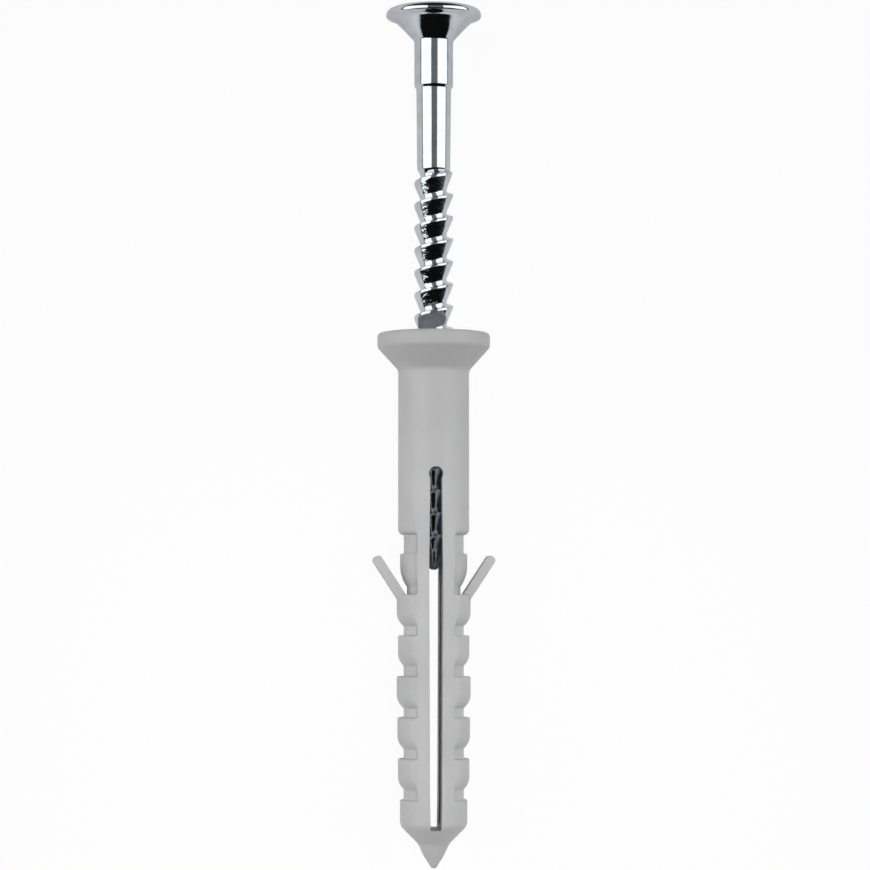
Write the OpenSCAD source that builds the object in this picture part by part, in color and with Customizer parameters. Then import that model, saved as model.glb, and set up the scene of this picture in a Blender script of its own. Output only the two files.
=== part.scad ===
// Hammer fixing: a toothed nylon plug with a part-driven nail-screw, lying as it comes to rest.
// Each piece is drawn along Z with the nose of the plug at zero, its slot facing -Y and its fins along X.

/* [Plug] */
// Length of the plug, nose to collar face
plug_len = 60; // [56:1:90]
// Diameter of the sleeve, which is the drill size
sleeve_d = 8; // [7.6:0.1:9]
// Diameter of the collar
collar_d = 12.7; // [12:0.1:16]
// Height of the straight rim of the collar
collar_rim_h = 1.6; // [1.3:0.1:2.4]
// Height of the countersunk cone under the rim
collar_cone_h = 2.6; // [2:0.1:4]
// Rounding of the collar's top edge
collar_edge_r = 0.4; // [0.1:0.05:0.45]
// Rounding where the sleeve steps down to the first neck
sleeve_end_r = 0.75; // [0.7:0.05:1.2]

/* [Teeth] */
// Number of teeth
teeth = 7; // [5:1:8]
// Distance from one tooth to the next
tooth_pitch = 4.58; // [4.2:0.02:5]
// Diameter of the even teeth
tooth_d = 8; // [7.6:0.05:8.4]
// Diameter of the wide teeth between them
wide_tooth_d = 8.3; // [7.8:0.05:8.6]
// Diameter of the first and the last tooth
end_tooth_d = 7.55; // [7.2:0.05:8]
// Diameter of the necks between the teeth
neck_d = 6.74; // [6.4:0.02:7]
// Diameter of the pocket behind the fins
pocket_d = 6; // [5.8:0.05:6.4]
// Straight height of a tooth
tooth_land = 2; // [1.6:0.1:2.2]
// Straight height of the first tooth
first_land = 1.4; // [1:0.1:1.6]
// Straight height of the last tooth
last_land = 2.6; // [2:0.1:3]
// Radius of a tooth's rounded shoulder
shoulder_r = 1.9; // [1.6:0.1:2.2]
// Radius of the first tooth's longer shoulder
first_shoulder_r = 3.9; // [3:0.1:4.2]
// Small bevel on the outer edge of a tooth
tooth_bevel = 0.15; // [0.05:0.05:0.25]
// Length of the neck between the sleeve and the first tooth
lead_neck = 2.1; // [1.5:0.1:3]
// Angle of the smooth band that carries the slot, front and back
band_angle = 70; // [50:1:80]

/* [Nose] */
// Diameter of the nose where its point begins
point_d = 3.5; // [2.8:0.1:4.2]
// Height of the point
point_h = 2.75; // [2:0.05:3.5]
// Rounding of the tip
tip_r = 0.45; // [0.3:0.05:0.6]
// Rounding of the nose's shoulder
nose_edge_r = 0.7; // [0.3:0.1:1]

/* [Slot and bore] */
// Width of the slot below its eye
slot_w = 1.3; // [1:0.05:1.5]
// Width of the slot at the tip of the nail, which holds the legs apart
slot_mid_w = 1.55; // [1.2:0.05:1.9]
// Width of the slot beside the last tooth
slot_low_w = 1.34; // [1:0.02:1.6]
// Width of the slot at its floor
slot_floor_w = 1.2; // [0.9:0.05:1.5]
// Diameter of the round eye that ends the slot
eye_d = 1.6; // [1.4:0.05:2]
// Depth of the slot's upper end under the collar face
slot_top_depth = 15.2; // [12:0.2:18]
// Height of the slot's floor above the tip of the nose
slot_floor_h = 4.4; // [4:0.1:6]
// Gap all round between the nail and the bore
bore_gap = 0.1; // [0.05:0.01:0.2]
// Diameter of the narrow channel that the nail spreads
channel_d = 2.8; // [2:0.1:3.4]
// Height of the taper between bore and channel
funnel_h = 2; // [1:0.1:4]

/* [Fins] */
// Thickness of a fin
fin_t = 1.04; // [0.8:0.02:1.3]
// Width of a fin
fin_w = 2.6; // [1.6:0.1:3.4]
// Steepness of a fin, from the plug's cross-section
fin_angle = 57; // [50:1:65]
// Span over the ends of both fins
fin_span = 13.7; // [12:0.1:15]
// Distance from the axis to the middle of a fin's root, at the top of the second tooth
fin_root_x = 3.83; // [3.6:0.01:3.9]

/* [Nail head] */
// Diameter of the head
head_d = 10.8; // [9.5:0.1:11]
// Height of the head's straight rim with its rounded edges
head_rim_h = 1; // [0.8:0.05:1.3]
// Height of the whole head
head_h = 3.7; // [3:0.1:4.5]
// Diameter of the cone where it leaves the rim
head_cone_d = 8; // [7:0.1:9]
// Drop of the rim's underside, edge to cone
head_sink = 0.7; // [0.1:0.05:0.9]
// Rounding of the rim's edges
head_edge_r = 0.35; // [0.1:0.05:0.38]
// Span of the cross recess
recess_span = 5.2; // [4:0.1:6]
// Width of the recess's wings
recess_wing = 1.1; // [0.8:0.1:1.4]
// Depth of the recess's wings
recess_h = 2.6; // [1.5:0.1:2.8]
// Diameter of the cone in the middle of the recess
recess_core_d = 2.4; // [2:0.1:3]
// Depth of that cone's tip below the wings
recess_tip_h = 0.3; // [0.1:0.1:0.5]

/* [Nail] */
// Length of the nail
nail_len = 63.6; // [60:0.2:66]
// How far the head stands out from the collar face
head_proud = 36.9; // [30:0.1:40]
// Diameter of the shank under the head
collar_shank_d = 4.4; // [4.1:0.05:4.4]
// Length of that shank
collar_shank_len = 5.6; // [3:0.1:8]
// Height of the bevel that ends it
shank_step_h = 0.7; // [0.3:0.05:1]
// Diameter of the lower shank at its top
shank_d = 3.95; // [3.7:0.05:4.05]
// Diameter of the lower shank at the thread
shank_end_d = 3.75; // [3.5:0.05:3.9]
// Length of the threaded end with its point
thread_len = 44.6; // [40:0.2:48]
// Diameter over the thread
thread_d = 4.4; // [4.2:0.05:4.6]
// Diameter at the root of the thread
root_d = 2.95; // [2.6:0.05:3.2]
// Pitch of the thread
thread_pitch = 2.54; // [2.2:0.02:3]
// Turn over which the thread rises from the shank
thread_rise = 1.2; // [0.4:0.1:1.5]
// Height of the nail's point
nail_point_h = 1.8; // [1.5:0.1:4]
// Bluntness of the point, where 1 is a plain cone
nail_point_curve = 0.6; // [0.4:0.05:1]

/* [Hidden] */

$fn = 96;
over = 1;
arc_steps = 6;
thread_segments = 30;

sleeve_r = sleeve_d / 2;
collar_r = collar_d / 2;
neck_r = neck_d / 2;
pocket_r = pocket_d / 2;
end_tooth_r = end_tooth_d / 2;
point_r = point_d / 2;
head_r = head_d / 2;

// Axial places on the plug, measured up from the tip of the nose
nose_h = point_h + end_tooth_r - point_r + nose_edge_r * (sqrt(2) - 1);
last_tooth_z = nose_h + last_land;
first_tooth_z = last_tooth_z + (teeth - 1) * tooth_pitch;
fin_tooth_z = first_tooth_z - tooth_pitch;
sleeve_end_z = first_tooth_z + lead_neck;
rim_z = plug_len - collar_rim_h;
cone_z = rim_z - collar_cone_h;

// Axial places on the nail
head_top_z = plug_len + head_proud;
nail_tip_z = head_top_z - nail_len;
collar_shank_z = head_top_z - head_h;
step_z = collar_shank_z - collar_shank_len;
thread_z = nail_tip_z + thread_len;

// The sunk underside of the head runs into the rounding of the rim without a crease
rim_run = head_r - head_edge_r - head_cone_d / 2;
rim_climb = head_sink + head_edge_r;
rim_start = atan2(rim_climb, rim_run) - asin(head_edge_r / norm([rim_run, rim_climb])) - 90;

// The band: how far it lies under the sleeve, its lap over the cut ends of the teeth, and its depth
band_sink = 0.04;
band_lap = 2;
band_root = 0.4;
band_floor_r = pocket_r - band_root;

// Bore, funnel and channel
bore_d = max(thread_d, collar_shank_d) + 2 * bore_gap;
funnel_z = nail_tip_z - bore_gap;
channel_floor_z = slot_floor_h + slot_floor_w / 2;

// One turn of the thread as shares of the pitch: root, steep flank, crest, long flank back to the root
thread_shares = [0, 0.07, 0.17, 0.85];
thread_crests = [0, 1, 1, 0];

// At rest the edges of the collar and of the head touch the floor, so the axis leans by a small angle
collar_edge = [plug_len - collar_edge_r, collar_r - collar_edge_r];
head_edge = [head_top_z - head_edge_r, head_r - head_edge_r];
edge_run = head_edge[0] - collar_edge[0];
edge_drop = collar_edge[1] - head_edge[1];
rest_tilt = atan2(edge_drop, edge_run) + asin((collar_edge_r - head_edge_r) / norm([edge_run, edge_drop]));
rest_h = collar_edge[0] * sin(rest_tilt) + collar_edge[1] * cos(rest_tilt) + collar_edge_r;
rest_len = head_edge[0] * cos(rest_tilt) + head_edge[1] * sin(rest_tilt) + head_edge_r;

// Points of an arc in a half section, as distance from the axis and height
function arc(r, z, radius, from, to) = [
    for (i = [0:arc_steps])
        let (a = from + (to - from) * i / arc_steps)
        [r + radius * cos(a), z + radius * sin(a)]
];

function tooth_r(i) =
    i == 0 || i == teeth - 1 ? end_tooth_r : (i % 2 == 1 && i < teeth - 2 ? wide_tooth_d : tooth_d) / 2;

function tooth_z(i) = last_tooth_z + (teeth - 1 - i) * tooth_pitch;

// Rounded shoulder that swells from a neck to a tooth's straight land
function shoulder(r, z, radius, from_r) =
    arc(r - radius, z, radius, -acos((from_r - r + radius) / radius), 0);

// Straight land with its bevelled edge and the flat step that faces the head
function tooth_top(i) = [
    [tooth_r(i), tooth_z(i) - tooth_bevel],
    [tooth_r(i) - tooth_bevel, tooth_z(i)],
    [i == 1 ? pocket_r : neck_r, tooth_z(i)]
];

function tooth(i) = concat(
    i == teeth - 1 ? [] :
    i == 0 ? shoulder(tooth_r(i), tooth_z(i) - first_land, first_shoulder_r, pocket_r) :
    shoulder(tooth_r(i), tooth_z(i) - tooth_land, shoulder_r, neck_r),
    tooth_top(i)
);

function nose() = concat(
    arc(0, tip_r, tip_r, -90, -atan2(point_r - tip_r, point_h)),
    [[point_r, point_h]],
    arc(end_tooth_r - nose_edge_r, nose_h, nose_edge_r, -45, 0)
);

function sleeve_and_collar() = concat(
    [[sleeve_r, cone_z], [collar_r, rim_z]],
    arc(collar_r - collar_edge_r, plug_len - collar_edge_r, collar_edge_r, 0, 90),
    [[0, plug_len]]
);

// Half section through the teeth
function toothed_section() = concat(
    nose(),
    [for (i = [teeth - 1:-1:0]) each tooth(i)],
    shoulder(sleeve_r, sleeve_end_z + sleeve_end_r, sleeve_end_r, neck_r),
    sleeve_and_collar()
);

// Half section of the smooth band that runs from inside the sleeve to inside the last tooth
function band_section() = [
    [band_floor_r, nose_h],
    [end_tooth_r - band_sink, nose_h],
    [sleeve_r - band_sink, sleeve_end_z + sleeve_end_r],
    [band_floor_r, sleeve_end_z + sleeve_end_r]
];

// Half section of the gap in the teeth that the band lies in
function gap_section() = [
    [neck_r - band_sink, last_tooth_z],
    [collar_r, last_tooth_z],
    [collar_r, first_tooth_z],
    [neck_r - band_sink, first_tooth_z]
];

// Part of a revolve, the same at the front and the back
module front_and_back(points, angle) {
    for (side = [90, 270])
        rotate([0, 0, side - angle / 2])
            rotate_extrude(angle = angle)
                polygon(points);
}

module plug_body() {
    difference() {
        rotate_extrude()
            polygon(toothed_section());
        front_and_back(gap_section(), band_angle - band_lap);
    }
    front_and_back(band_section(), band_angle);
}

// Slot right through from front to back, with a round eye at its upper end
module slot() {
    eye_z = plug_len - slot_top_depth - eye_d / 2;
    rotate([90, 0, 0])
        linear_extrude(height = collar_d, center = true) {
            translate([0, eye_z])
                circle(d = eye_d);
            polygon([
                [-slot_w / 2, eye_z],
                [-slot_mid_w / 2, nail_tip_z],
                [-slot_low_w / 2, last_tooth_z],
                [-slot_floor_w / 2, slot_floor_h],
                [slot_floor_w / 2, slot_floor_h],
                [slot_low_w / 2, last_tooth_z],
                [slot_mid_w / 2, nail_tip_z],
                [slot_w / 2, eye_z]
            ]);
        }
}

// Seat for the nail's head, bore for its thread and the narrow channel that it is driven into
module bore() {
    seat_r = head_r + bore_gap;
    rotate_extrude()
        polygon([
            [0, channel_floor_z],
            [channel_d / 2, channel_floor_z],
            [channel_d / 2, funnel_z - funnel_h],
            [bore_d / 2, funnel_z],
            [bore_d / 2, plug_len - head_h],
            [head_cone_d / 2 + bore_gap, plug_len - head_rim_h - head_sink],
            [seat_r, plug_len - head_rim_h],
            [seat_r, plug_len + over],
            [0, plug_len + over]
        ]);
}

// Springy fin that rises from the second tooth and folds into the pocket above it
module fin() {
    fin_len = (fin_span / 2 - fin_t / 2 - fin_root_x) / cos(fin_angle);
    root_len = neck_r - channel_d / 2;
    translate([fin_root_x, 0, fin_tooth_z])
        rotate([0, -fin_angle, 0]) {
            translate([-root_len / 2, -fin_w / 2, -fin_t / 2])
                cube([fin_len + root_len / 2, fin_w, fin_t]);
            translate([fin_len, 0, 0])
                rotate([90, 0, 0])
                    cylinder(d = fin_t, h = fin_w, center = true);
        }
}

// Half section of the head and the shanks, down to where the thread takes over
function nail_section() = concat(
    [
        [0, thread_z],
        [root_d / 2 - bore_gap, thread_z],
        [shank_end_d / 2, thread_z + shank_step_h],
        [shank_d / 2, step_z],
        [collar_shank_d / 2, step_z + shank_step_h],
        [collar_shank_d / 2, collar_shank_z],
        [head_cone_d / 2, head_top_z - head_rim_h - head_sink]
    ],
    arc(head_r - head_edge_r, head_top_z - head_rim_h + head_edge_r, head_edge_r, rim_start, 0),
    arc(head_r - head_edge_r, head_top_z - head_edge_r, head_edge_r, 0, 90),
    [[0, head_top_z]]
);

// Cross recess: two wings that narrow towards the bottom, and a cone in the middle
module recess() {
    translate([0, 0, head_top_z - recess_h]) {
        for (turn = [0, 90])
            rotate([90, 0, turn])
                linear_extrude(height = recess_wing, center = true)
                    polygon([
                        [-recess_wing, 0],
                        [recess_wing, 0],
                        [recess_span / 2, recess_h],
                        [recess_span / 2, recess_h + over],
                        [-recess_span / 2, recess_h + over],
                        [-recess_span / 2, recess_h]
                    ]);
        translate([0, 0, -recess_tip_h])
            cylinder(d1 = recess_wing / 2, d2 = recess_core_d, h = recess_h + recess_tip_h + over);
    }
}

// Threaded end: one turn's outline swept down a right-hand helix, which also draws in the nail's point
module thread() {
    top_z = thread_z + thread_pitch + shank_step_h;
    steps = ceil((top_z - nail_tip_z) / thread_pitch * thread_segments) - thread_segments - 2;
    parts = len(thread_shares);
    rise_from = (top_z - thread_z) / thread_pitch - thread_rise;
    function taper(z) = pow(min(1, (z - nail_tip_z) / nail_point_h), nail_point_curve);
    function rise(k) = sqrt(max(0, min(1, (k / thread_segments - rise_from) / thread_rise)));
    function spot(k, j) =
        let (
            z = top_z - thread_pitch * (k / thread_segments + thread_shares[j]),
            r = (root_d + (thread_d - root_d) * thread_crests[j] * rise(k)) / 2 * taper(z),
            a = -360 * k / thread_segments
        )
        [r * cos(a), r * sin(a), z];
    // Each step holds the points of one outline, and one more turn of root points closes the lower end
    function index(k, j) = j < parts ? (k <= steps ? k * parts + j : steps * parts + parts + k - steps - 1)
        : index(k + thread_segments, 0);
    points = concat(
        [for (k = [0:steps], j = [0:parts - 1]) spot(k, j)],
        [for (k = [steps + 1:steps + thread_segments]) spot(k, 0)],
        [[0, 0, top_z], [0, 0, nail_tip_z]]
    );
    top_point = len(points) - 2;
    tip_point = len(points) - 1;
    flanks = [
        for (k = [0:steps - 1], j = [0:parts - 1])
            each [
                [index(k, j), index(k + 1, j + 1), index(k + 1, j)],
                [index(k, j), index(k, j + 1), index(k + 1, j + 1)]
            ]
    ];
    top_cap = concat(
        [for (k = [0:thread_segments - 1]) [top_point, index(k, 0), index(k + 1, 0)]],
        [for (j = [0:parts - 1]) [top_point, index(0, j + 1), index(0, j)]]
    );
    tip_cap = concat(
        [for (k = [steps:steps + thread_segments - 1]) [tip_point, index(k + 1, 0), index(k, 0)]],
        [for (j = [0:parts - 1]) [tip_point, index(steps, j), index(steps, j + 1)]]
    );
    polyhedron(points = points, faces = concat(flanks, top_cap, tip_cap));
}

// Turns a piece from its own axis to where it lies on the floor, head towards +Y and slot upwards
module lie_down() {
    translate([0, -rest_len / 2, rest_h])
        rotate([-90 - rest_tilt, 0, 0])
            children();
}

module plug_sleeve() {
    color("#BFC0C0")
        lie_down()
            difference() {
                union() {
                    plug_body();
                    for (side = [0, 180])
                        rotate([0, 0, side])
                            fin();
                }
                slot();
                bore();
            }
}

module nail_screw() {
    color("#D5D8DB")
        lie_down()
            difference() {
                union() {
                    rotate_extrude()
                        polygon(nail_section());
                    thread();
                }
                recess();
            }
}

plug_sleeve();
nail_screw();
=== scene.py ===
import math
import bmesh
import bpy
from mathutils import Matrix, Vector


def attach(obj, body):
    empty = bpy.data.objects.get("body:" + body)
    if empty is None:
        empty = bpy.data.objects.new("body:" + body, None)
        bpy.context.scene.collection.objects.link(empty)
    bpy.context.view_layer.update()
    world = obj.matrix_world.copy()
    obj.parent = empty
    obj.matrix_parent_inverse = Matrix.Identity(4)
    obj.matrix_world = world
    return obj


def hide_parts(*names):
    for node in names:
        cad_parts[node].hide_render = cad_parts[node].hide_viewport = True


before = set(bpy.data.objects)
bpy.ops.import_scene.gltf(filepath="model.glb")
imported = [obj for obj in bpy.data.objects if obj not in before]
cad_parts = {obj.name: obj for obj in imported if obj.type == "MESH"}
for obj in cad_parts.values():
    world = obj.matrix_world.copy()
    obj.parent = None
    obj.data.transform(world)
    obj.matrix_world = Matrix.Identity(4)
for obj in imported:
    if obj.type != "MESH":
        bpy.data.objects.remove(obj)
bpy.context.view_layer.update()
print("frame loaded:", ", ".join(sorted(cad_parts)))

scene = bpy.context.scene
scene.view_settings.view_transform = "Standard"
mm = 0.001

# both pieces are made upright in millimetres, nose at zero and slot facing -Y, and then laid down
rest = {"tilt": 1.4728, "back": 48.49895, "height": 7.879896}
lieDown = (
    Matrix.Translation((0, -rest["back"] * mm, rest["height"] * mm))
    @ Matrix.Rotation(math.radians(-90 - rest["tilt"]), 4, "X")
    @ Matrix.Scale(mm, 4)
)
weld = {"outline": 0.004, "spin": 0.001, "band": 0.002, "carve": 0.0005}
cornerSteps = 5


def hexColor(text):
    channels = [int(text[i:i + 2], 16) / 255 for i in (1, 3, 5)]
    return [c / 12.92 if c <= 0.04045 else ((c + 0.055) / 1.055) ** 2.4 for c in channels] + [1]


def addNode(tree, kind, settings=None, links=None):
    node = tree.nodes.new(kind)
    for name, value in (settings or {}).items():
        if isinstance(name, int) or name in node.inputs:
            node.inputs[name].default_value = value
        else:
            setattr(node, name, value)
    for name, socket in (links or {}).items():
        tree.links.new(socket, node.inputs[name])
    return node


# half outline as corners (distance from axis, height, rounding), rounded by bevelling the wire
def drawOutline(bm, corners):
    verts = [bm.verts.new((r, 0, z)) for r, z, rounding in corners]
    for a, b in zip(verts, verts[1:]):
        bm.edges.new((a, b))
    for vert, (r, z, rounding) in zip(verts, corners):
        if rounding:
            bmesh.ops.bevel(
                bm, geom=[vert], offset=rounding, offset_type="OFFSET", segments=cornerSteps,
                profile=0.5, affect="VERTICES", material=-1,
            )
    bmesh.ops.remove_doubles(bm, verts=bm.verts, dist=weld["outline"])
    return bm.edges[:]


# spins the outline sector by sector, so that each part of the turn gets the columns it needs
def spinSectors(bm, edges, sectors):
    geom = edges
    for angle, steps in sectors:
        turned = bmesh.ops.spin(
            bm, geom=geom, cent=(0, 0, 0), axis=(0, 0, 1), dvec=(0, 0, 0),
            angle=math.radians(angle), steps=steps, use_merge=False, use_duplicate=False,
        )
        geom = [g for g in turned["geom_last"] if isinstance(g, bmesh.types.BMEdge)]
    bmesh.ops.remove_doubles(bm, verts=bm.verts, dist=weld["spin"])
    bmesh.ops.dissolve_degenerate(bm, edges=bm.edges, dist=weld["spin"])
    bmesh.ops.recalc_face_normals(bm, faces=bm.faces)


def turnAbout(bm, axis, angle):
    turn = Matrix.Rotation(math.radians(angle), 3, axis)
    bmesh.ops.rotate(bm, verts=bm.verts, cent=(0, 0, 0), matrix=turn)


def makeObject(bm, name):
    mesh = bpy.data.meshes.new(name)
    bm.to_mesh(mesh)
    bm.free()
    piece = bpy.data.objects.new(name, mesh)
    scene.collection.objects.link(piece)
    return piece


# joins or cuts with helper shapes and hands back the result as a fresh bmesh
def carve(bm, name, helpers):
    piece = makeObject(bm, name)
    tools = []
    for operation, helper in helpers:
        tool = makeObject(helper, name + "Helper")
        modifier = piece.modifiers.new("carve", "BOOLEAN")
        modifier.operation = operation
        modifier.solver = "EXACT"
        modifier.object = tool
        tools.append(tool)
    graph = bpy.context.evaluated_depsgraph_get()
    result = bmesh.new()
    result.from_object(piece, graph)
    for done in tools + [piece]:
        mesh = done.data
        bpy.data.objects.remove(done)
        bpy.data.meshes.remove(mesh)
    bmesh.ops.remove_doubles(result, verts=result.verts, dist=weld["carve"])
    return result


def finishPiece(bm, name, material, node, sharpAngle):
    bmesh.ops.transform(bm, matrix=lieDown, verts=bm.verts)
    for face in bm.faces:
        face.smooth = True
    for edge in bm.edges:
        edge.smooth = edge.calc_face_angle(0) < math.radians(sharpAngle)
    piece = makeObject(bm, name)
    piece.data.materials.append(material)
    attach(piece, "root")
    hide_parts(node)
    print(name, "made:", len(piece.data.polygons), "faces")


# moulded polyamide: satin grey, faintly clouded by the melt's flow, with the fine grain of a sparked mould
nylon = {
    "pale": "#C8C8C9", "dark": "#C1C1C2", "spread": (0.3, 0.7), "ior": 1.53, "roughness": (0.36, 0.46),
    "cloud": 5.0, "cloudDetail": 3, "cloudRoughness": 0.5,
    "grain": 0.16, "grainDetail": 2, "grainHeight": 0.006, "grainStrength": 0.5,
}
nylonMat = bpy.data.materials.new("moulded polyamide")
nylonMat.use_nodes = True
tree = nylonMat.node_tree
shader = tree.nodes["Principled BSDF"]
shader.inputs["IOR"].default_value = nylon["ior"]
coord = addNode(tree, "ShaderNodeTexCoord")
cloud = addNode(
    tree, "ShaderNodeTexNoise",
    {
        "Scale": 1 / (nylon["cloud"] * mm), "Detail": nylon["cloudDetail"],
        "Roughness": nylon["cloudRoughness"],
    },
    {"Vector": coord.outputs["Object"]},
)
tone = addNode(tree, "ShaderNodeValToRGB", {}, {"Fac": cloud.outputs["Fac"]})
for stop, place, color in zip(tone.color_ramp.elements, nylon["spread"], (nylon["dark"], nylon["pale"])):
    stop.position = place
    stop.color = hexColor(color)
tree.links.new(tone.outputs["Color"], shader.inputs["Base Color"])
grain = addNode(
    tree, "ShaderNodeTexNoise", {"Scale": 1 / (nylon["grain"] * mm), "Detail": nylon["grainDetail"]},
    {"Vector": coord.outputs["Object"]},
)
satin = addNode(
    tree, "ShaderNodeMapRange", {"To Min": nylon["roughness"][0], "To Max": nylon["roughness"][1]},
    {"Value": grain.outputs["Fac"]},
)
tree.links.new(satin.outputs["Result"], shader.inputs["Roughness"])
grainBump = addNode(
    tree, "ShaderNodeBump", {"Strength": nylon["grainStrength"], "Distance": nylon["grainHeight"] * mm},
    {"Height": grain.outputs["Fac"]},
)
tree.links.new(grainBump.outputs["Normal"], shader.inputs["Normal"])

# bright zinc plate on drawn and rolled steel: mirror-bright with a cold tint, faintly wavy and finely pitted
zinc = {
    "bright": "#E0E4E9", "dull": "#D2D7DE", "spread": (0.35, 0.65), "roughness": (0.04, 0.1),
    "patch": 1.6, "patchDetail": 4,
    "rolled": 0.7, "rolledDetail": 2, "rolledRoughness": 0.6, "rolledHeight": 0.06, "rolledStrength": 0.6,
    "rolledTo": (28.6, 29.6),
    "wave": 0.9, "waveDetail": 1, "waveHeight": 0.01, "waveStrength": 0.5,
    "pit": 0.22, "pitDetail": 2, "pitHeight": 0.002, "pitStrength": 0.4,
}
zincMat = bpy.data.materials.new("bright zinc plated steel")
zincMat.use_nodes = True
tree = zincMat.node_tree
shader = tree.nodes["Principled BSDF"]
shader.inputs["Metallic"].default_value = 1
coord = addNode(tree, "ShaderNodeTexCoord")
patch = addNode(
    tree, "ShaderNodeTexNoise", {"Scale": 1 / (zinc["patch"] * mm), "Detail": zinc["patchDetail"]},
    {"Vector": coord.outputs["Object"]},
)
tone = addNode(tree, "ShaderNodeValToRGB", {}, {"Fac": patch.outputs["Fac"]})
for stop, place, color in zip(tone.color_ramp.elements, zinc["spread"], (zinc["dull"], zinc["bright"])):
    stop.position = place
    stop.color = hexColor(color)
tree.links.new(tone.outputs["Color"], shader.inputs["Base Color"])
gloss = addNode(
    tree, "ShaderNodeMapRange", {"To Min": zinc["roughness"][0], "To Max": zinc["roughness"][1]},
    {"Value": patch.outputs["Fac"]},
)
tree.links.new(gloss.outputs["Result"], shader.inputs["Roughness"])

# the thread dies leave a rougher skin than the drawn shank has
rolled = addNode(
    tree, "ShaderNodeTexNoise",
    {
        "Scale": 1 / (zinc["rolled"] * mm), "Detail": zinc["rolledDetail"],
        "Roughness": zinc["rolledRoughness"],
    },
    {"Vector": coord.outputs["Object"]},
)
axes = addNode(tree, "ShaderNodeSeparateXYZ", {}, {0: coord.outputs["Object"]})
threaded = addNode(
    tree, "ShaderNodeMapRange",
    {"From Min": zinc["rolledTo"][0] * mm, "From Max": zinc["rolledTo"][1] * mm, "To Min": 1, "To Max": 0},
    {"Value": axes.outputs["Y"]},
)
skin = addNode(
    tree, "ShaderNodeMath", {"operation": "MULTIPLY"},
    {0: rolled.outputs["Fac"], 1: threaded.outputs["Result"]},
)
rolledBump = addNode(
    tree, "ShaderNodeBump", {"Strength": zinc["rolledStrength"], "Distance": zinc["rolledHeight"] * mm},
    {"Height": skin.outputs[0]},
)
normal = rolledBump.outputs["Normal"]
for mark in ("wave", "pit"):
    noise = addNode(
        tree, "ShaderNodeTexNoise", {"Scale": 1 / (zinc[mark] * mm), "Detail": zinc[mark + "Detail"]},
        {"Vector": coord.outputs["Object"]},
    )
    bump = addNode(
        tree, "ShaderNodeBump",
        {"Strength": zinc[mark + "Strength"], "Distance": zinc[mark + "Height"] * mm},
        {"Height": noise.outputs["Fac"], "Normal": normal},
    )
    normal = bump.outputs["Normal"]
tree.links.new(normal, shader.inputs["Normal"])
print("materials made")

# the plug: one moulding, spun as a single wall from the nose over the collar and down the bore
plug = {
    "length": 60.0, "sleeve": 4.0, "sleeveEnd": 37.245, "sleeveLip": 0.08, "sleeveRound": 0.5,
    "coneFrom": 55.8, "coneRound": 0.35, "collar": 6.35, "rimFrom": 58.4, "rimRound": 0.25, "edge": 0.4,
    "noseTip": 0.474, "noseSteps": (0, 0.2, 0.36, 0.46), "noseWaist": (1.19, 1.5, 0.3),
    "noseFlare": (1.75, 2.75, 0.25), "noseTop": 3.775, "noseTopFrom": 4.775, "noseRound": 0.5,
    "neck": 3.37, "pocket": 3.0, "pitch": 4.58, "lowestTooth": 7.665,
    "teeth": [(4.0, 2.0), (4.07, 2.0), (4.15, 2.0), (4.0, 2.0), (4.15, 2.0), (3.775, 1.4)],
    "shoulder": 1.9, "topShoulder": 3.9, "toothEdge": 0.17, "neckEdge": 0.08, "innerEdge": 0.1,
    "seat": 5.5, "seatEdge": 0.12, "seatDeep": 1.0, "seatCone": 4.1, "seatConeDeep": 1.7,
    "bore": 2.3, "boreDeep": 3.7, "boreRound": 0.2, "boreFrom": 33.2,
    "channel": 1.4, "channelTop": 31.2, "channelFloor": 5.0,
    "bandHalf": 35.5, "bandFade": 8.0, "bandLow": 3.735, "bandHigh": 3.96,
    "bandFrom": 5.065, "bandOver": 0.7, "bandReach": 2.9, "sharp": 38,
}


# a tooth, from the neck under it: rounded shoulder, straight land, small edge, flat step to the next neck
def toothCorners(radius, land, top, shoulder, fromNeck, toNeck):
    swing = math.acos((fromNeck - radius + shoulder) / shoulder)
    reach = shoulder * math.tan(swing / 2)
    landFrom = top - land
    return [
        (fromNeck, landFrom - shoulder * math.sin(swing), plug["innerEdge"]),
        (radius, landFrom - reach, reach - plug["innerEdge"]),
        (radius, top, plug["toothEdge"]),
        (toNeck, top, plug["neckEdge"]),
    ]


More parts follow.
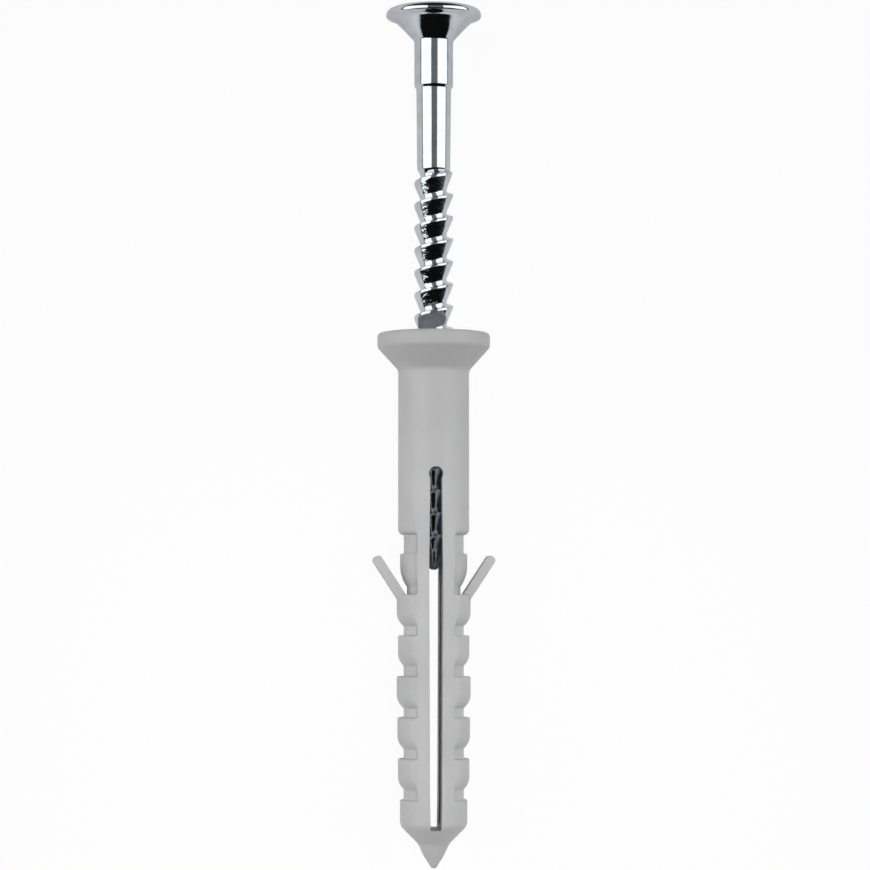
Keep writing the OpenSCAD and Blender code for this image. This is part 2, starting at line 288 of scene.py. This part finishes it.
# the nose ends in a small ball, drawn in a few steps out from the axis
corners = [(r, plug["noseTip"] - math.sqrt(plug["noseTip"] ** 2 - r ** 2), 0) for r in plug["noseSteps"]]
corners += [
    plug["noseWaist"], plug["noseFlare"], (plug["noseTop"], plug["noseTopFrom"], plug["noseRound"]),
    (plug["noseTop"], plug["lowestTooth"], plug["toothEdge"]),
    (plug["neck"], plug["lowestTooth"], plug["neckEdge"]),
]
count = len(plug["teeth"])
for i, (radius, land) in enumerate(plug["teeth"], 1):
    corners += toothCorners(
        radius, land, plug["lowestTooth"] + i * plug["pitch"],
        plug["topShoulder"] if i == count else plug["shoulder"],
        plug["pocket"] if i == count else plug["neck"],
        plug["pocket"] if i == count - 1 else plug["neck"],
    )
corners += [
    (plug["neck"], plug["sleeveEnd"], plug["innerEdge"]),
    (plug["sleeve"], plug["sleeveEnd"] + plug["sleeveLip"], plug["sleeveRound"]),
    (plug["sleeve"], plug["coneFrom"], plug["coneRound"]),
    (plug["collar"], plug["rimFrom"], plug["rimRound"]),
    (plug["collar"], plug["length"], plug["edge"]), (plug["seat"], plug["length"], plug["seatEdge"]),
    (plug["seat"], plug["length"] - plug["seatDeep"], plug["innerEdge"]),
    (plug["seatCone"], plug["length"] - plug["seatConeDeep"], plug["innerEdge"]),
    (plug["bore"], plug["length"] - plug["boreDeep"], plug["boreRound"]),
    (plug["bore"], plug["boreFrom"], 0), (plug["channel"], plug["channelTop"], 0),
    (plug["channel"], plug["channelFloor"], 0), (0, plug["channelFloor"], 0),
]
bm = bmesh.new()
outline = drawOutline(bm, corners)
turnAbout(bm, "Z", -90)
quarter = [(7, 1), (8, 1), (14, 4), (9, 9), (52, 13)]  # fine where the teeth run out into the front band
spinSectors(bm, outline, (quarter + quarter[::-1]) * 2)

# front and back, the teeth fade into the smooth band that carries the slot
bandTop = plug["sleeveEnd"] + plug["bandOver"]
for vert in bm.verts:
    reach = math.hypot(vert.co.x, vert.co.y)
    if reach < plug["bandReach"] or not plug["bandFrom"] < vert.co.z < bandTop:
        continue
    turn = math.degrees(math.atan2(abs(vert.co.x), abs(vert.co.y)))
    share = min(1, max(0, (plug["bandHalf"] + plug["bandFade"] / 2 - turn) / plug["bandFade"]))
    share = share * share * (3 - 2 * share)
    climb = (vert.co.z - plug["bandFrom"]) / (bandTop - plug["bandFrom"])
    band = plug["bandLow"] + (plug["bandHigh"] - plug["bandLow"]) * climb
    vert.co.xy *= 1 + (band / reach - 1) * share
bmesh.ops.remove_doubles(bm, verts=bm.verts, dist=weld["band"])
bmesh.ops.dissolve_degenerate(bm, edges=bm.edges, dist=weld["band"])

# springy fins: flat bars with a round end, rooted in the second tooth
fin = {
    "thick": 1.04, "wide": 2.6, "angle": 57, "rootX": 3.83, "rootZ": 30.565, "length": 5.05, "sunk": 1.0,
    "tipRound": 0.42, "tipSteps": 6, "edge": 0.12, "edgeSteps": 3, "edgeAngle": 69,
}
helpers = []
for side in (0, 180):
    bar = bmesh.new()
    bmesh.ops.create_cube(bar, size=1)
    bmesh.ops.scale(bar, verts=bar.verts, vec=(fin["length"] + fin["sunk"], fin["wide"], fin["thick"]))
    bmesh.ops.translate(bar, verts=bar.verts, vec=((fin["length"] - fin["sunk"]) / 2, 0, 0))
    tipEdges = [
        e for e in bar.edges
        if all(v.co.x > 0 for v in e.verts) and abs(e.verts[0].co.y - e.verts[1].co.y) > fin["thick"]
    ]
    bmesh.ops.bevel(
        bar, geom=tipEdges, offset=fin["thick"] * fin["tipRound"], segments=fin["tipSteps"], profile=0.5,
        affect="EDGES", material=-1,
    )
    sideEdges = [
        e for e in bar.edges
        if e.calc_face_angle(0) > math.radians(fin["edgeAngle"]) and any(v.co.x > 0 for v in e.verts)
    ]
    bmesh.ops.bevel(
        bar, geom=sideEdges, offset=fin["edge"], segments=fin["edgeSteps"], profile=0.5,
        affect="EDGES", material=-1,
    )
    turnAbout(bar, "Y", -fin["angle"])
    bmesh.ops.translate(bar, verts=bar.verts, vec=(fin["rootX"], 0, fin["rootZ"]))
    turnAbout(bar, "Z", side)
    bmesh.ops.recalc_face_normals(bar, faces=bar.faces)
    helpers.append(("UNION", bar))

# the slot: a tapering cut right through, with a round eye at its upper end
slot = {
    "eyeZ": 44.0, "eye": 0.8, "eyeSides": 48, "top": 0.65, "middle": 0.775, "middleZ": 33.3,
    "low": 0.67, "lowZ": 7.665, "floor": 0.6, "floorZ": 4.4, "deep": 7.0,
}
half = [
    (slot["top"], slot["eyeZ"]), (slot["middle"], slot["middleZ"]), (slot["low"], slot["lowZ"]),
    (slot["floor"], slot["floorZ"]),
]
cut = bmesh.new()
ring = [cut.verts.new((x, -slot["deep"], z)) for x, z in [(-x, z) for x, z in half] + half[::-1]]
front = cut.faces.new(ring)
grown = bmesh.ops.extrude_face_region(cut, geom=[front], use_keep_orig=True)
moved = [g for g in grown["geom"] if isinstance(g, bmesh.types.BMVert)]
bmesh.ops.translate(cut, verts=moved, vec=(0, 2 * slot["deep"], 0))
bmesh.ops.recalc_face_normals(cut, faces=cut.faces)
helpers.append(("DIFFERENCE", cut))
eye = bmesh.new()
bmesh.ops.create_cone(
    eye, cap_ends=True, segments=slot["eyeSides"], radius1=slot["eye"], radius2=slot["eye"],
    depth=2 * slot["deep"],
)
turnAbout(eye, "X", 90)
bmesh.ops.translate(eye, verts=eye.verts, vec=(0, 0, slot["eyeZ"]))
bmesh.ops.recalc_face_normals(eye, faces=eye.faces)
helpers.append(("DIFFERENCE", eye))
bm = carve(bm, "plug", helpers)

# moulded slots have no knife edges, so the rim of the cut is rounded
rim = {"round": 0.07, "steps": 3, "angle": 50, "half": 0.9, "reach": 3.0, "below": 0.2, "above": 1.0}


def onSlotRim(edge):
    near = all(
        abs(v.co.x) < rim["half"] and v.co.xy.length > rim["reach"]
        and slot["floorZ"] - rim["below"] < v.co.z < slot["eyeZ"] + rim["above"]
        for v in edge.verts
    )
    return near and edge.calc_face_angle(0) > math.radians(rim["angle"])


slotRim = [e for e in bm.edges if onSlotRim(e)]
bmesh.ops.bevel(
    bm, geom=slotRim, offset=rim["round"], segments=rim["steps"], profile=0.5, affect="EDGES",
    clamp_overlap=False, material=-1,
)
print("slot rim:", len(slotRim), "edges rounded")
finishPiece(bm, "plug", nylonMat, "plug_sleeve", plug["sharp"])

# the nail: head and shanks are spun, the barbed thread is a spin that also slides along the axis
nail = {
    "top": 96.9, "head": 5.4, "headRound": 0.62, "rimZ": 96.0, "rimRound": 0.18,
    "rimIn": (4.5, 95.7, 0.2), "coneIn": (3.4, 94.62, 0.3), "coneEnd": 93.3, "coneRound": 0.16,
    "shank": 2.2, "stepFrom": 88.12, "stepTo": 87.84, "stepRound": 0.1, "lower": 1.975, "lowerEnd": 1.875,
    "runOut": 0.7, "runOutRound": 0.15, "overlap": 0.1, "columns": 128, "sharp": 32,
    "thread": 2.2, "root": 1.475, "threadFrom": 77.9, "pitch": 2.54, "turnSteps": 60,
    "crest": (0.07, 0.17), "crestRound": (0.07, 0.1), "flankEnd": 0.85, "flankRound": 0.12,
    "under": 0.7, "rise": 1.2,
    "tip": 33.3, "blunt": 0.3, "bluntRound": 0.25, "cut": 0.75, "cutTo": 0.95, "cutRound": 0.35,
    "point": 2.4, "pointRound": 0.5, "pointInset": 0.03, "pointSunk": 0.2, "pointOver": 1.0,
    "pointColumns": 72, "thinnest": 0.0001,
}
bm = bmesh.new()
outline = drawOutline(bm, [
    (0, nail["top"], 0), (nail["head"], nail["top"], nail["headRound"]),
    (nail["head"], nail["rimZ"], nail["rimRound"]), nail["rimIn"], nail["coneIn"],
    (nail["shank"], nail["coneEnd"], nail["coneRound"]),
    (nail["shank"], nail["stepFrom"], nail["stepRound"]), (nail["lower"], nail["stepTo"], nail["stepRound"]),
    (nail["lowerEnd"], nail["threadFrom"] + nail["runOut"], nail["runOutRound"]),
    (nail["root"] - nail["overlap"], nail["threadFrom"], 0), (0, nail["threadFrom"], 0),
])
spinSectors(bm, outline, [(360, nail["columns"])])

# thread: flat step towards the head, sharp crest, long flank that tapers to the root
coil = bmesh.new()
coilTop = nail["threadFrom"] + nail["pitch"] + nail["under"]
turns = (coilTop - nail["tip"]) / nail["pitch"] - 1
stepCount = round(turns * nail["turnSteps"])
drawOutline(coil, [
    (nail["root"], coilTop, 0),
    (nail["thread"], coilTop - nail["crest"][0] * nail["pitch"], nail["crestRound"][0]),
    (nail["thread"], coilTop - nail["crest"][1] * nail["pitch"], nail["crestRound"][1]),
    (nail["root"], coilTop - nail["flankEnd"] * nail["pitch"], nail["flankRound"]),
    (nail["root"], coilTop - nail["pitch"], 0),
])
bmesh.ops.spin(
    coil, geom=coil.edges[:], cent=(0, 0, 0), axis=(0, 0, -1),
    dvec=(0, 0, -nail["pitch"] / nail["turnSteps"]), angle=2 * math.pi * stepCount / nail["turnSteps"],
    steps=stepCount, use_merge=False, use_duplicate=False,
)
bmesh.ops.remove_doubles(coil, verts=coil.verts, dist=weld["spin"])

# the ridge rises out of the shank over its first turn and dies away on the point
firstTurn = 1 + nail["under"] / nail["pitch"]
for vert in coil.verts:
    reach = vert.co.xy.length
    phase = (coilTop - vert.co.z) / nail["pitch"]
    share = (phase + math.atan2(vert.co.y, vert.co.x) / (2 * math.pi)) % 1
    risen = min(1, max(0, (phase - share - firstTurn + nail["rise"]) / nail["rise"]))
    fromTip = min(1, max(nail["thinnest"], (vert.co.z - nail["tip"] - nail["cut"]) / nail["point"]))
    ridge = (reach - nail["root"]) * math.sqrt(risen) * fromTip
    vert.co.xy *= (nail["root"] + ridge) * math.sqrt(fromTip) / reach
ends = [e for e in coil.edges if e.is_boundary]
bmesh.ops.holes_fill(coil, edges=ends, sides=0)
bmesh.ops.recalc_face_normals(coil, faces=coil.faces)

# the blunt point, which the thread runs out on
end = bmesh.new()
endTop = nail["tip"] + nail["point"]
outline = drawOutline(end, [
    (0, nail["tip"], 0), (nail["blunt"], nail["tip"], nail["bluntRound"]),
    (nail["cutTo"], nail["tip"] + nail["cut"], nail["cutRound"]),
    (nail["root"] - nail["pointInset"], endTop, nail["pointRound"]),
    (nail["root"] - nail["pointSunk"], endTop + nail["pointOver"], 0), (0, endTop + nail["pointOver"], 0),
])
spinSectors(end, outline, [(360, nail["pointColumns"])])
helpers = [("UNION", coil), ("UNION", end)]

# cross recess in the head: four tapering wings round a cone
recess = {
    "span": 2.6, "wing": 0.55, "wingTaper": (0.4, 0.75), "deep": 2.6, "over": 0.5,
    "core": 1.2, "coreTip": 0.25, "coreDeep": 2.9, "coreSides": 40,
    "rim": 0.08, "rimSteps": 2, "rimAngle": 35, "rimReach": 3.0, "rimBelow": 0.01,
}
for turn in (0, 90):
    wing = bmesh.new()
    bmesh.ops.create_cube(wing, size=1)
    size = (2 * recess["span"], 2 * recess["wing"], recess["deep"] + recess["over"])
    middle = nail["top"] + (recess["over"] - recess["deep"]) / 2
    bmesh.ops.scale(wing, verts=wing.verts, vec=size)
    bmesh.ops.translate(wing, verts=wing.verts, vec=(0, 0, middle))
    low = [v for v in wing.verts if v.co.z < nail["top"]]
    bmesh.ops.scale(wing, verts=low, vec=(*recess["wingTaper"], 1))
    turnAbout(wing, "Z", turn)
    helpers.append(("DIFFERENCE", wing))
core = bmesh.new()
bmesh.ops.create_cone(
    core, cap_ends=True, segments=recess["coreSides"], radius1=recess["coreTip"], radius2=recess["core"],
    depth=recess["coreDeep"] + recess["over"],
)
middle = nail["top"] + (recess["over"] - recess["coreDeep"]) / 2
bmesh.ops.translate(core, verts=core.verts, vec=(0, 0, middle))
helpers.append(("DIFFERENCE", core))
bm = carve(bm, "nail", helpers)


def onRecessRim(edge):
    near = all(
        v.co.z > nail["top"] - recess["rimBelow"] and v.co.xy.length < recess["rimReach"] for v in edge.verts
    )
    return near and edge.calc_face_angle(0) > math.radians(recess["rimAngle"])


recessRim = [e for e in bm.edges if onRecessRim(e)]
bmesh.ops.bevel(
    bm, geom=recessRim, offset=recess["rim"], segments=recess["rimSteps"], profile=0.5, affect="EDGES",
    clamp_overlap=False, material=-1,
)
bmesh.ops.dissolve_degenerate(bm, edges=bm.edges, dist=weld["carve"])
finishPiece(bm, "nail", zincMat, "nail_screw", nail["sharp"])

# pale studio floor: white to the eye, still showing a soft shadow
floor = {"size": 3.0, "color": "#EDEDED", "roughness": 0.9, "specular": 0.1, "glow": 0.95, "mirrored": 0.2}
floorMat = bpy.data.materials.new("pale studio paper")
floorMat.use_nodes = True
tree = floorMat.node_tree
shader = tree.nodes["Principled BSDF"]
shader.inputs["Base Color"].default_value = hexColor(floor["color"])
shader.inputs["Roughness"].default_value = floor["roughness"]
shader.inputs["Specular IOR Level"].default_value = floor["specular"]
path = addNode(tree, "ShaderNodeLightPath")
reflected = addNode(
    tree, "ShaderNodeMath", {"operation": "MAXIMUM"},
    {0: path.outputs["Is Glossy Ray"], 1: path.outputs["Is Transmission Ray"]},
)
dimmed = addNode(
    tree, "ShaderNodeMath", {"operation": "MULTIPLY", 1: floor["mirrored"]}, {0: reflected.outputs[0]},
)
seen = addNode(
    tree, "ShaderNodeMath", {"operation": "MULTIPLY", 1: floor["glow"]}, {0: path.outputs["Is Camera Ray"]},
)
glowShare = addNode(
    tree, "ShaderNodeMath", {"operation": "MAXIMUM"}, {0: seen.outputs[0], 1: dimmed.outputs[0]},
)
glow = addNode(tree, "ShaderNodeEmission", {"Color": (1, 1, 1, 1), "Strength": 1.0})
paper = addNode(
    tree, "ShaderNodeMixShader", {},
    {0: glowShare.outputs[0], 1: shader.outputs["BSDF"], 2: glow.outputs["Emission"]},
)
tree.links.new(paper.outputs["Shader"], tree.nodes["Material Output"].inputs["Surface"])
bm = bmesh.new()
bmesh.ops.create_grid(bm, x_segments=1, y_segments=1, size=floor["size"])
ground = makeObject(bm, "floor")
ground.data.materials.append(floorMat)

# two tall softboxes beside the camera: the bright shank shows the dark gap between them as its middle stripe
studio = {
    "strength": (1.27, 1.24), "from": (-0.245, -0.12), "to": 0.38,
    "inner": (0.195, 0.567), "outer": (0.548, 0.075),
}
inner, outer = Vector(studio["inner"]), Vector(studio["outer"])
middle, span = (inner + outer) / 2, outer - inner
lengthways = Vector((0, 1, 0))
for side, strength, start in zip((-1, 1), studio["strength"], studio["from"]):
    box = bpy.data.lights.new("softbox", "AREA")
    box.shape = "RECTANGLE"
    box.size = span.length
    box.size_y = studio["to"] - start
    box.energy = strength * math.pi * box.size * box.size_y
    lamp = bpy.data.objects.new("softbox", box)
    across = Vector((side * span.x, 0, span.y)).normalized()
    facing = across.cross(lengthways)
    centre = Vector((side * middle.x, (start + studio["to"]) / 2, middle.y))
    if facing.dot(centre) < 0:
        facing, across = -facing, -across
    turn = Matrix((across, lengthways, facing)).transposed().to_4x4()
    lamp.matrix_world = Matrix.Translation(centre) @ turn
    scene.collection.objects.link(lamp)

# a soft spot from the camera's side lifts the slotted end and the nose
spot = {"place": (0.05, -0.04, 0.45), "energy": 11.5, "cone": 11.0, "radius": 0.06}
beam = bpy.data.lights.new("spot", "SPOT")
beam.energy = spot["energy"]
beam.spot_size = math.radians(spot["cone"])
beam.spot_blend = 1
beam.shadow_soft_size = spot["radius"]
lamp = bpy.data.objects.new("spot", beam)
lamp.location = spot["place"]
lamp.rotation_euler = (0, math.atan2(spot["place"][0], spot["place"][2]), 0)
lamp.visible_glossy = False  # the bright nail in the slot stays dark
scene.collection.objects.link(lamp)

# dim studio round it, dark beyond the nose and beyond the head
surround = {"stops": [(-0.5, 0.005), (-0.22, 0.16), (0.3, 0.16), (0.6, 0.015)]}
world = bpy.data.worlds.new("studio")
scene.world = world
world.use_nodes = True
tree = world.node_tree
sky = addNode(tree, "ShaderNodeTexCoord")
axes = addNode(tree, "ShaderNodeSeparateXYZ", {}, {0: sky.outputs["Generated"]})
heading = addNode(tree, "ShaderNodeMapRange", {"From Min": -1, "From Max": 1}, {"Value": axes.outputs["Y"]})
fall = addNode(tree, "ShaderNodeValToRGB", {}, {"Fac": heading.outputs["Result"]})
fall.color_ramp.interpolation = "EASE"
for i, (where, level) in enumerate(surround["stops"]):
    stop = fall.color_ramp.elements[i] if i < 2 else fall.color_ramp.elements.new(1)
    stop.position = (where + 1) / 2
    stop.color = (level, level, level, 1)
tree.links.new(fall.outputs["Color"], tree.nodes["Background"].inputs["Color"])

# camera straight above the slot, level with the fins, turned a little to the plug's left
shot = {
    "eyeHeight": 29.6, "distance": 326, "turn": 4.3, "aimHeight": 48.515, "aimSide": 0.15,
    "lens": 119.89, "sensor": 36,
}
lens = bpy.data.cameras.new("camera")
lens.sensor_width = shot["sensor"]
lens.lens = shot["lens"]
camera = bpy.data.objects.new("camera", lens)
scene.collection.objects.link(camera)
swing = math.radians(shot["turn"])
eyePoint = lieDown @ Vector(
    (-shot["distance"] * math.sin(swing), -shot["distance"] * math.cos(swing), shot["eyeHeight"])
)
aimPoint = lieDown @ Vector((shot["aimSide"], 0, shot["aimHeight"]))
backward = (eyePoint - aimPoint).normalized()
nailward = (lieDown.to_3x3() @ Vector((0, 0, 1))).normalized()
rightward = nailward.cross(backward).normalized()
upward = backward.cross(rightward)
turn = Matrix((rightward, upward, backward)).transposed().to_4x4()
camera.matrix_world = Matrix.Translation(eyePoint) @ turn
scene.camera = camera
print("studio and camera set")
